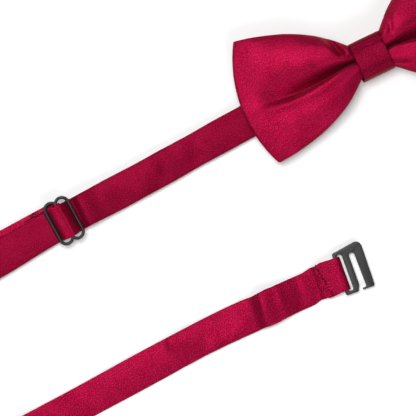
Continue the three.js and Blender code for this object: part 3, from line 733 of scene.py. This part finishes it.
class TIE_OT_slider_cloth(bpy.types.Operator):
    """Builds the band's arch over the slider's bar and the hook band's end round that bar"""
    bl_idname = "tie.slider_cloth"
    bl_label = "Cloth on the slider"

    def execute(self, context):
        sizes = context.scene.tie_band
        thick = 0.62 * MM
        flat = BAND_LOW + sizes.thick + thick / 2 + 0.06 * MM
        top = float(high("main_band_arch")[2]) - thick / 2
        places = [(-6.5, flat - 0.3 * MM), (-5.9, flat - 0.1 * MM), (-5.2, flat + 0.1 * MM),
                  (-4.6, flat + 0.75 * MM), (-4.1, flat + 1.7 * MM), (-3.5, top - 0.95 * MM),
                  (-2.7, top - 0.42 * MM), (-1.2, top - 0.18 * MM), (0.6, top - 0.03 * MM), (1.3, top),
                  (1.9, top - 0.3 * MM), (2.6, top - 1.1 * MM), (3.4, top - 2.1 * MM), (4.3, flat + 0.8 * MM),
                  (5.1, flat + 0.12 * MM), (5.9, flat - 0.1 * MM), (6.5, flat - 0.3 * MM)]
        points = [np.array((SLIDER_X + x * MM, 0, z)) for x, z in places]
        line, side, _ = resample(points, [ACROSS] * len(points), 0.3 * MM)
        section = strap_section(sizes.width, thick, 0.02 * MM)

        from_bar = (line[:, 0] - SLIDER_X) / MM

        def wave(_, place):
            return MM * 0.2 * bell(from_bar[:, None] - 1.0 + place / MM * 0.03, 0.6) * bell(place, 9 * MM)

        rows = strap_rows(line, side, section, wave, lambda _: 1 + 0.03 * bell(from_bar, 3))
        rows[:, :, 1] -= (0.35 * MM * bell(from_bar, 4))[:, None]
        arch = skin("band_arch", rows)
        # The arch's satin is a lighter copy than the band's: a painted highlight along the top of the bar.
        dress(arch, satin("arch satin", 0.2, 0.86), "slider", ["main_band_arch"])

        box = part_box("slider_loop")
        thick = 0.55 * MM
        centre = (np.array(box[0]) + np.array(box[1])) / 2
        half_x = (box[1][0] - box[0][0]) / 2 - thick / 2
        half_z = (box[1][2] - box[0][2]) / 2 - thick / 2
        ring = [centre + np.array((half_x * np.sign(c) * abs(c) ** 0.7, 0, half_z * np.sign(s) * abs(s) ** 0.7))
                for c, s in ((math.cos(a), math.sin(a)) for a in np.linspace(0, TAU, 33))]
        line, side, _ = resample(ring, [ACROSS] * len(ring), 0.3 * MM)
        section = strap_section(box[1][1] - box[0][1], thick, 0)
        piece = skin("bar_loop", strap_rows(line[:-1], side[:-1], section), ring=True)
        # The loop round the bar takes the main band's darker copy of the finish: painted shade.
        dress(piece, satin("band satin", 0.17, 0.58), "slider", ["slider_loop"])
        return {"FINISHED"}


def roll(points, normals, corner, beyond, radius, rise, mask):
    """Rolls what lies beyond a line through corner over it, onto the other side of the strap."""
    beyond = np.array(beyond) / np.linalg.norm(beyond)
    past = (points[..., 0] - corner[0]) * beyond[0] + (points[..., 1] - corner[1]) * beyond[1]
    past = np.where(mask, past, -1)
    angle = np.clip(past / radius, 0, math.pi)
    back = np.clip(past - math.pi * radius, 0, None)
    go = np.where(past > 0, radius * np.sin(angle) - back - past, 0)
    moved = points.copy()
    moved[..., 0] += beyond[0] * go
    moved[..., 1] += beyond[1] * go
    moved[..., 2] += np.where(past > 0, rise * radius * (1 - np.cos(angle)), 0)
    lean = np.where(past > 0, np.sin(angle), 0)
    turned_normals = normals * np.where(past > 0, np.cos(angle), 1)[..., None]
    turned_normals[..., 0] += beyond[0] * lean
    turned_normals[..., 1] += beyond[1] * lean
    return moved, turned_normals


SEAM_BACK = 8.0 * MM  # from the hook's bar to its seam
SEAM_LEAN = 0.2
LAID_Z = 0.46  # middle of the strap where it lies on the table, in millimetres
BEND_ROWS, SEWN_ROWS = 30, 34  # last rows of the strap, round the hook's bar


class TIE_OT_hook_band(bpy.types.Operator):
    """Builds the hook band: one strap with two flat folds, ending round the hook's bar"""
    bl_idname = "tie.hook_band"
    bl_label = "Hook band"

    def execute(self, context):
        sizes = context.scene.tie_band
        thick = sizes.thick
        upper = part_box("hook_band_upper")
        upper_mid = (upper[0][2] + upper[1][2]) / 2
        upper_y = (upper[0][1] + upper[1][1]) / 2
        radius = (upper_mid - thick / 2) / 2
        section = strap_section(sizes.width, thick, 0.02 * MM)
        start = SLIDER_X - 0.6 * MM
        first = start - FOLD_X
        drop = upper_y - LOWER_Y
        tail = 14 * MM
        ease = math.pi * radius / math.sqrt(2)
        length = first + drop + tail + 2 * ease * math.sqrt(2)
        stops = np.linspace(0, length, int(length / (0.4 * MM)))
        points = np.zeros((len(stops), len(section), 3))
        points[..., 0] = start - stops[:, None]
        points[..., 1] = upper_y - section[None, :, 0]
        points[..., 2] = upper_mid
        normals = np.zeros_like(points)
        normals[..., 2] = 1
        everything = np.ones(points.shape[:2], bool)
        points, normals = roll(points, normals, (FOLD_X, upper_y), (-1, 1), radius, -1, everything)
        late = np.repeat((stops > first + drop * 0.5)[:, None], len(section), axis=1)
        points, normals = roll(points, normals, (FOLD_X, LOWER_Y), (-1, -1), radius, 1, late)
        folded = points + normals * section[None, :, 1][..., None]

        begin = float(points[-1, :, 0].mean())
        lower_z = points[-1, 0, 2]
        turn = sizes.hook_turn
        line_points = [np.array((begin, LOWER_Y, lower_z))]
        for x, y, z in ((-212, 0, 1.5), (-200, 0, 0.5), (-170, 0, LAID_Z), (-140, 0, LAID_Z),
                        (-125, -0.1, LAID_Z), (-110, -0.75, LAID_Z), (-95, -1.9, LAID_Z),
                        (-84, -2.5, LAID_Z), (-78.6, -2.9, LAID_Z), (-73, -3.35, LAID_Z)):
            line_points.append(np.array((x * MM, LOWER_Y + y * MM, z * MM)))
        sides = [turned(ACROSS, turn * 0.55 * float(smooth_step(p[0] / MM, -130, -95))) for p in line_points]
        level = thick / 2 - HOOK_BAR[2]
        loop = bar_turn(HOOK_BAR, turn, 1.55 * MM, 1.5 * MM,
                        (level + 0.1 * MM, level + 1.1 * MM, level + 2.2 * MM),
                        (level + 0.02 * MM, level, level), sizes.turned_end, 2.6 * MM, 0.35 * MM)
        sides += [turned(ACROSS, turn)] * len(loop)
        line, side, _ = resample(line_points + loop, sides, 0.5 * MM)
        buckle = buckles(LOWER_BUCKLES)
        seam = HOOK_BAR[0] - SEAM_BACK

        def wave(line, place):
            x, z, left = line[:, 0][:, None], line[:, 2][:, None], np.arange(len(line), 0, -1)[:, None]
            flat = (z < 0.6 * MM) & (left > BEND_ROWS)
            ripple = 0.6 + 0.4 * np.cos(place / MM * TAU / 1.3)
            sewn = 0.42 * MM * bell(x - seam + SEAM_LEAN * place + 0.2 * MM, 0.9 * MM) * (1 - ripple)
            sewn = sewn - 0.34 * MM * bell(x - seam + SEAM_LEAN * place, 0.5 * MM) * ripple
            return np.where(flat, buckle(line, place), 0) + np.where(left > SEWN_ROWS, sewn, 0)

        def pull(line):
            x = line[:, 0] / MM
            seam_x, bar_x = seam / MM, HOOK_BAR[0] / MM
            doubled = smooth_step(x, seam_x - 0.9, seam_x + 0.3) * (1 - smooth_step(x, seam_x + 1, bar_x - 1))
            return (1.02 + 0.012 * np.sin(x / 9) - 0.03 * bell(x + 98, 2.6) + 0.03 * bell(x + 91, 3)
                    + 0.065 * doubled)

        laid = strap_rows(line, side, section, wave, pull)
        piece = skin("hook_strap", np.concatenate([folded, laid[1:]]))
        # The hook band's satin is a darker copy of the finish, lighter than the main band's: painted shade.
        dress(piece, satin("hook band satin", 0.37, 0.8), None,
              ["hook_band_upper", "hook_band_cross", "hook_band_lower", "hook_band_end"])
        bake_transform(piece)
        return {"FINISHED"}


# ---- stitches ----
def stitch_piece(name, places, length, radius):
    """One mesh of short rounded stitches; places are (centre, direction)."""
    bpy.ops.object.select_all(action="DESELECT")
    bpy.ops.mesh.primitive_uv_sphere_add(segments=8, ring_count=6, radius=radius)
    seed = bpy.context.object
    base = np.array([v.co for v in seed.data.vertices])
    faces = [tuple(f.vertices) for f in seed.data.polygons]
    base[:, 2] += np.sign(base[:, 2]) * (length / 2 - radius)
    bpy.data.objects.remove(seed, do_unlink=True)
    verts, all_faces = [], []
    for centre, direction in places:
        turn = Vector((0, 0, 1)).rotation_difference(Vector(direction))
        offset = len(verts)
        verts += [tuple(turn @ Vector(p) + Vector(centre)) for p in base]
        all_faces += [tuple(i + offset for i in f) for f in faces]
    mesh = bpy.data.meshes.new(name)
    mesh.from_pydata(verts, [], all_faces)
    return new_piece(name, mesh)


def seam_places(origin, turn, x, z, half, pitch, lean, swing=0.0, slant=0.0):
    """Places of stitches in a row across a strap."""
    count = int(2 * half / pitch)
    places = []
    for i in range(count + 1):
        y = -half + 2 * half * i / count
        side = 1 if i % 2 else -1
        local = turned((x + side * swing - slant * y, y, z), turn)
        heading = turned((math.sin(lean * side), math.cos(lean * side), 0.0), turn)
        places.append((np.array(origin) + local, heading))
    return places


class TIE_OT_stitches(bpy.types.Operator):
    """Builds the rows of stitches at the slider, the hook, the eye, the tail and the knot, with a row of dark
    stitches along the strap's edge by the slider as painted shadow
    """
    bl_idname = "tie.stitches"
    bl_label = "Stitches"

    def execute(self, context):
        sizes, bow = context.scene.tie_band, context.scene.tie_bow
        half = sizes.width / 2 - 0.7 * MM
        hook_top = 2.78 * MM - HOOK_BAR[2]
        eye_top = BAND_LOW + sizes.thick + 0.2 * MM - EYE_BAR[2]
        hem_top = BAND_LOW + 2 * sizes.thick + 0.1 * MM
        upper_top = float(high("hook_band_upper")[2])
        loose_top = upper_top + 0.1 * MM
        rows = (
            ("hook_seam", "hook_stitches", "hook_end",
             seam_places(HOOK_BAR, sizes.hook_turn, -SEAM_BACK, hook_top, half + 0.5 * MM, 1.3 * MM, 0.9,
                         0.2 * MM, SEAM_LEAN)),
            ("eye_seam", "eye_stitches", "eye_end",
             seam_places(EYE_BAR, 0, -sizes.turned_end + 1.2 * MM, eye_top, half, 1.1 * MM, 0.5)),
            ("hem_seam", "tail_stitches", "bow",
             seam_places((TAIL_X, 0, 0), 0, sizes.hem - 1.5 * MM, hem_top, half, 1.2 * MM, 0.3)),
            ("slider_seam", "slider_stitches", "slider",
             seam_places((SLIDER_X, 2.3 * MM, 0), 0, -11 * MM, upper_top, half, 1.0 * MM, 0.9, 0.35 * MM)
             + [(np.array((SLIDER_X - x * MM, y * MM, loose_top)), way)
                for x, y, way in ((9.9, 8.8, (1, 0.2, 0)), (11.0, 9.2, (0.3, 1, 0)), (11.9, 8.2, (1, -0.5, 0)),
                                  (12.4, 9.1, (0.2, 1, 0)))]
             # This row of dark stitches along the strap's edge is painted shadow: a dark row put where the
             # layer below peeks out in shade.
             + [(np.array((SLIDER_X - x * MM, 7.75 * MM, loose_top)), (1, 0.06, 0))
                for x in np.arange(6.4, 15.8, 1.15)]),
            ("knot_seam", "knot_seam_stitches", "bow",
             seam_places((0, bow.knot_y, 0), math.pi / 2 + bow.knot_turn, 0, 0.12 * MM, 6 * MM, 1.1 * MM, 0.6)))
        for name, node, body, places in rows:
            piece = stitch_piece(name, places, 1.25 * MM, 0.24 * MM)
            dress(piece, sewing_thread(), body, [node])
        lap_top = BAND_LOW + sizes.thick + 0.98 * MM
        places = seam_places((SLIDER_X, 1.8 * MM, 0), 0, 7.0 * MM, lap_top, 4.2 * MM, 0.62 * MM, 1.2, 0.22 * MM)
        piece = stitch_piece("lap_seam", places, 0.9 * MM, 0.17 * MM)
        # The stitches are real; the much lighter copy of the satin they take, with heavy flecks, is a painted
        # highlight.
        dress(piece, satin("bright satin thread", 0.9, 1.3), "bow")
        return {"FINISHED"}


# ---- metal ----
def pick(bm, test):
    for item in (*bm.faces, *bm.edges, *bm.verts):
        item.select = False
    for edge in [e for e in bm.edges if test(e)]:
        edge.select_set(True)


def shaped_plate(name, corners, radii, base, top):
    """A block whose four upright edges are moved to the corners; the numbered ones are rounded."""
    bpy.ops.object.select_all(action="DESELECT")
    bpy.ops.mesh.primitive_cube_add(size=2 * MM, location=(0, 0, 0))
    piece = bpy.context.object
    piece.name = name
    piece.data.name = name
    bpy.ops.object.mode_set(mode="EDIT")
    bpy.ops.mesh.select_mode(type="VERT")
    for (sx, sy), (x, y) in zip(rectangle(-1, 1, -1, 1), corners):
        bm = bmesh.from_edit_mesh(piece.data)
        for vert in bm.verts:
            vert.select = False
        bm.select_flush_mode()
        chosen = [v for v in bm.verts if v.tag is False and v.co.x * sx > 0 and v.co.y * sy > 0
                  and abs(v.co.x) < 1.01 * MM]
        for vert in chosen:
            vert.select_set(True)
            vert.tag = True
        bmesh.update_edit_mesh(piece.data)
        bpy.ops.transform.translate(value=((x - sx) * MM, (y - sy) * MM, 0))
    bm = bmesh.from_edit_mesh(piece.data)
    for vert in bm.verts:
        vert.co.z = top if vert.co.z > 0 else base
    bmesh.update_edit_mesh(piece.data)
    bpy.ops.mesh.select_mode(type="EDGE")
    for key, radius in radii.items():
        x, y = corners[key]
        bm = bmesh.from_edit_mesh(piece.data)
        pick(bm, lambda e: abs(e.verts[0].co.z - e.verts[1].co.z) > 0.5 * (top - base)
             and math.dist(e.verts[0].co[:2], (x * MM, y * MM)) < 0.02 * MM)
        bmesh.update_edit_mesh(piece.data)
        bpy.ops.mesh.bevel(offset=radius * MM, segments=8, affect="EDGES")
    bpy.ops.object.mode_set(mode="OBJECT")
    return piece


def rectangle(x0, x1, y0, y1):
    return (x0, y0), (x1, y0), (x1, y1), (x0, y1)


def cut_away(piece, cutters):
    for cutter in cutters:
        finish_with(piece, "BOOLEAN", operation="DIFFERENCE", object=cutter, solver="EXACT")
        bpy.data.objects.remove(cutter, do_unlink=True)


def round_edges(piece, width):
    finish_with(piece, "BEVEL", width=width, segments=3, limit_method="ANGLE", angle_limit=math.radians(40))
    activate(piece)
    bpy.ops.object.shade_smooth_by_angle(angle=math.radians(35))


def settle(piece, turn, origin):
    """Moves a piece modelled about its own bar to its place, into the mesh."""
    for vert in piece.data.vertices:
        vert.co = Vector(turned(vert.co, turn) + np.array(origin))


class TIE_OT_slider(bpy.types.Operator):
    """Builds the figure-eight slider from two long links that share the middle bar"""
    bl_idname = "tie.slider"
    bl_label = "Slider"

    def execute(self, context):
        wire = context.scene.tie_metal.rail / 2
        half_x, half_y = (float(v) / 2 for v in size_of("slider")[:2])
        bar = 0.9 * MM
        radius = (half_x + bar) / 2
        links = []
        for side in (-1, 1):
            bpy.ops.object.select_all(action="DESELECT")
            bpy.ops.mesh.primitive_torus_add(major_segments=48, minor_segments=16, major_radius=radius - wire,
                                             minor_radius=wire, location=(0, 0, 0))
            piece = bpy.context.object
            bpy.ops.object.mode_set(mode="EDIT")
            bpy.ops.mesh.select_mode(type="VERT")
            for way in (-1, 1):
                bm = bmesh.from_edit_mesh(piece.data)
                for vert in bm.verts:
                    vert.select_set(vert.co.y * way > 0.01 * MM)
                bm.select_flush_mode()
                bmesh.update_edit_mesh(piece.data)
                bpy.ops.transform.translate(value=(0, way * (half_y - radius), 0))
            bpy.ops.mesh.select_all(action="SELECT")
            bpy.ops.transform.translate(value=(side * (half_x - radius), 0, 0))
            bpy.ops.object.mode_set(mode="OBJECT")
            links.append(piece)
        figure, other = links
        finish_with(figure, "BOOLEAN", operation="UNION", object=other, solver="EXACT")
        bpy.data.objects.remove(other, do_unlink=True)
        figure.name = "slider_frame"
        figure.data.name = "slider_frame"
        settle(figure, 0, (SLIDER_X, 0, SLIDER_Z))
        activate(figure)
        bpy.ops.object.shade_smooth_by_angle(angle=math.radians(50))
        dress(figure, coated_metal(), "slider", ["slider"])
        return {"FINISHED"}


# What is cut from the hook's plate: name, corners and their rounding, in millimetres from the band bar.
HOOK_CUTS = (
    ("slot", rectangle(0.85, 3.15, -8.4, 8.4), dict.fromkeys(range(4), 1.0)),
    ("mouth", ((6.15, -8.9), (8.9, -8.9), (8.65, 7.4), (6.15, 7.4)), {3: 1.2, 2: 1.2, 1: 0.8}),
    ("opening", ((4.9, -12), (7.1, -12), (7.1, -8), (6.15, -8)), {}),
    ("shoulder", ((4.0, -12), (6.4, -12), (6.4, -6.9), (6.16, -6.9)), {}))


class TIE_OT_hook(bpy.types.Operator):
    """Builds the stamped hook: band bar, slot, middle bar, open mouth and outer leg"""
    bl_idname = "tie.hook"
    bl_label = "Hook"

    def execute(self, context):
        metal, band = context.scene.tie_metal, context.scene.tie_band
        thick = float(size_of("hook")[2])
        plate = shaped_plate("hook_plate", ((-0.85, -9.8), (12.55, -9.8), (13.0, 11.9), (-0.85, 9.7)),
                             {0: 0.9, 1: 0.95, 2: 3.3, 3: 0.8}, -thick / 2, thick / 2)
        cut_away(plate, [shaped_plate(name, corners, radii, -3 * thick, 3 * thick)
                         for name, corners, radii in HOOK_CUTS])
        round_edges(plate, metal.edge)
        settle(plate, band.hook_turn, HOOK_BAR)
        dress(plate, coated_metal(), "hook", ["hook"])
        return {"FINISHED"}


class TIE_OT_eye(bpy.types.Operator):
    """Builds the eye that the hook goes into"""
    bl_idname = "tie.eye"
    bl_label = "Eye"

    def execute(self, context):
        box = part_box("eye")
        thick = box[1][2] - box[0][2]
        rim = 1.9
        half = (box[1][1] - box[0][1]) / 2 / MM
        x0 = -rim / 2
        x1 = x0 + (box[1][0] - box[0][0]) / MM
        outer = shaped_plate("eye_ring", rectangle(x0, x1, -half, half), dict.fromkeys(range(4), 2.2),
                             -thick / 2, thick / 2)
        inner = shaped_plate("inside", rectangle(x0 + rim, x1 - rim, -half + rim, half - rim),
                             dict.fromkeys(range(4), 0.9), -3 * thick, 3 * thick)
        cut_away(outer, [inner])
        round_edges(outer, 0.4 * MM)
        settle(outer, 0, EYE_BAR)
        dress(outer, coated_metal(), "eye", ["eye"])
        return {"FINISHED"}


# ---- stage ----
class StageSizes(bpy.types.PropertyGroup):
    turn: bpy.props.FloatProperty(
        name="Turn", description="Neckband's slope in the view", default=math.radians(28.5), unit="ROTATION")
    span: bpy.props.FloatProperty(
        name="Span", description="Width of table in the view", default=183 * MM, unit="LENGTH")
    centre_x: bpy.props.FloatProperty(
        name="Centre X", description="Middle of the view along the neckband",
        default=-94.7 * MM, unit="LENGTH")
    centre_y: bpy.props.FloatProperty(
        name="Centre Y", description="Middle of the view across the neckband",
        default=-25.3 * MM, unit="LENGTH")
    lens: bpy.props.FloatProperty(
        name="Lens", description="Focal length in millimetres", default=250)


SENSOR = 36  # width of the camera's sensor, in millimetres


def area_light(name, place, aim, size, power):
    data = bpy.data.lights.new(name, "AREA")
    data.shape = "SQUARE"
    data.size = size
    data.energy = power
    lamp = bpy.data.objects.new(name, data)
    lamp.location = place
    lamp.rotation_euler = (Vector(aim) - Vector(place)).to_track_quat("-Z", "Y").to_euler()
    bpy.context.collection.objects.link(lamp)


class TIE_OT_stage(bpy.types.Operator):
    """Sets the white table, the soft light and the camera overhead"""
    bl_idname = "tie.stage"
    bl_label = "Stage"

    def execute(self, context):
        scene, stage = context.scene, context.scene.tie_stage
        bpy.ops.object.select_all(action="DESELECT")
        bpy.ops.mesh.primitive_plane_add(size=16, location=(stage.centre_x, stage.centre_y, -0.02 * MM))
        floor = context.object
        floor.name = "table"
        white = bpy.data.materials.new("white table")
        white.use_nodes = True
        fill(white.node_tree, white.node_tree.nodes["Principled BSDF"],
             {"Base Color": (0.9, 0.9, 0.9, 1), "Roughness": 0.9, "Specular IOR Level": 0.1})
        floor.data.materials.append(white)
        world = bpy.data.worlds.new("soft studio")
        world.use_nodes = True
        fill(world.node_tree, world.node_tree.nodes["Background"], {"Color": (1, 1, 1, 1), "Strength": 0.16})
        scene.world = world
        centre = Vector((stage.centre_x, stage.centre_y, 0))
        right = Vector((math.cos(stage.turn), -math.sin(stage.turn), 0))
        up = Vector((math.sin(stage.turn), math.cos(stage.turn), 0))
        area_light("overhead", centre + up * 0.2 - right * 0.15 + Vector((0, 0, 1.1)), centre, 0.5, 10.5)
        area_light("upper side", centre + up * 0.8 - right * 0.5 + Vector((0, 0, 0.6)), centre, 0.6, 2.7)
        area_light("lower side", centre - up * 0.75 + right * 0.45 + Vector((0, 0, 0.7)), centre, 0.7, 5.8)
        scene.view_settings.view_transform = "Standard"
        data = bpy.data.cameras.new("overhead camera")
        data.lens = stage.lens
        data.sensor_width = SENSOR
        data.clip_start = 0.01
        camera = bpy.data.objects.new("overhead camera", data)
        distance = stage.span / 2 / (SENSOR / 2 / stage.lens)
        camera.location = centre + Vector((0, 0, distance + 5 * MM))
        camera.rotation_euler = (0, 0, -stage.turn)
        context.collection.objects.link(camera)
        scene.camera = camera
        return {"FINISHED"}


class TIE_PT_panel(bpy.types.Panel):
    """Lists the tie's pieces"""
    bl_idname = "TIE_PT_panel"
    bl_label = "Bow tie"
    bl_space_type = "VIEW_3D"
    bl_region_type = "UI"
    bl_category = "Bow tie"

    def draw(self, context):
        for group in ("tie_bow", "tie_band", "tie_metal", "tie_finish", "tie_stage"):
            values = getattr(context.scene, group)
            box = self.layout.box()
            for key in values.__annotations__:
                box.prop(values, key)
        for step in STEPS:
            self.layout.operator(step.bl_idname)


GROUPS = {"tie_bow": BowSizes, "tie_band": BandSizes, "tie_metal": MetalSizes, "tie_finish": Finish,
          "tie_stage": StageSizes}
STEPS = (TIE_OT_stage, TIE_OT_wings, TIE_OT_interlining, TIE_OT_knot, TIE_OT_main_band, TIE_OT_slider_cloth,
         TIE_OT_hook_band, TIE_OT_slider, TIE_OT_hook, TIE_OT_eye, TIE_OT_stitches)


def register():
    for name, group in GROUPS.items():
        bpy.utils.register_class(group)
        setattr(bpy.types.Scene, name, bpy.props.PointerProperty(type=group))
    for step in (*STEPS, TIE_PT_panel):
        bpy.utils.register_class(step)


def unregister():
    for step in (TIE_PT_panel, *reversed(STEPS)):
        bpy.utils.unregister_class(step)
    for name, group in GROUPS.items():
        delattr(bpy.types.Scene, name)
        bpy.utils.unregister_class(group)


def run_step(step):
    area, call = step.bl_idname.split(".")
    getattr(getattr(bpy.ops, area), call)()


def main():
    register()
    for step in STEPS:
        run_step(step)


if __name__ == "__main__":
    main()
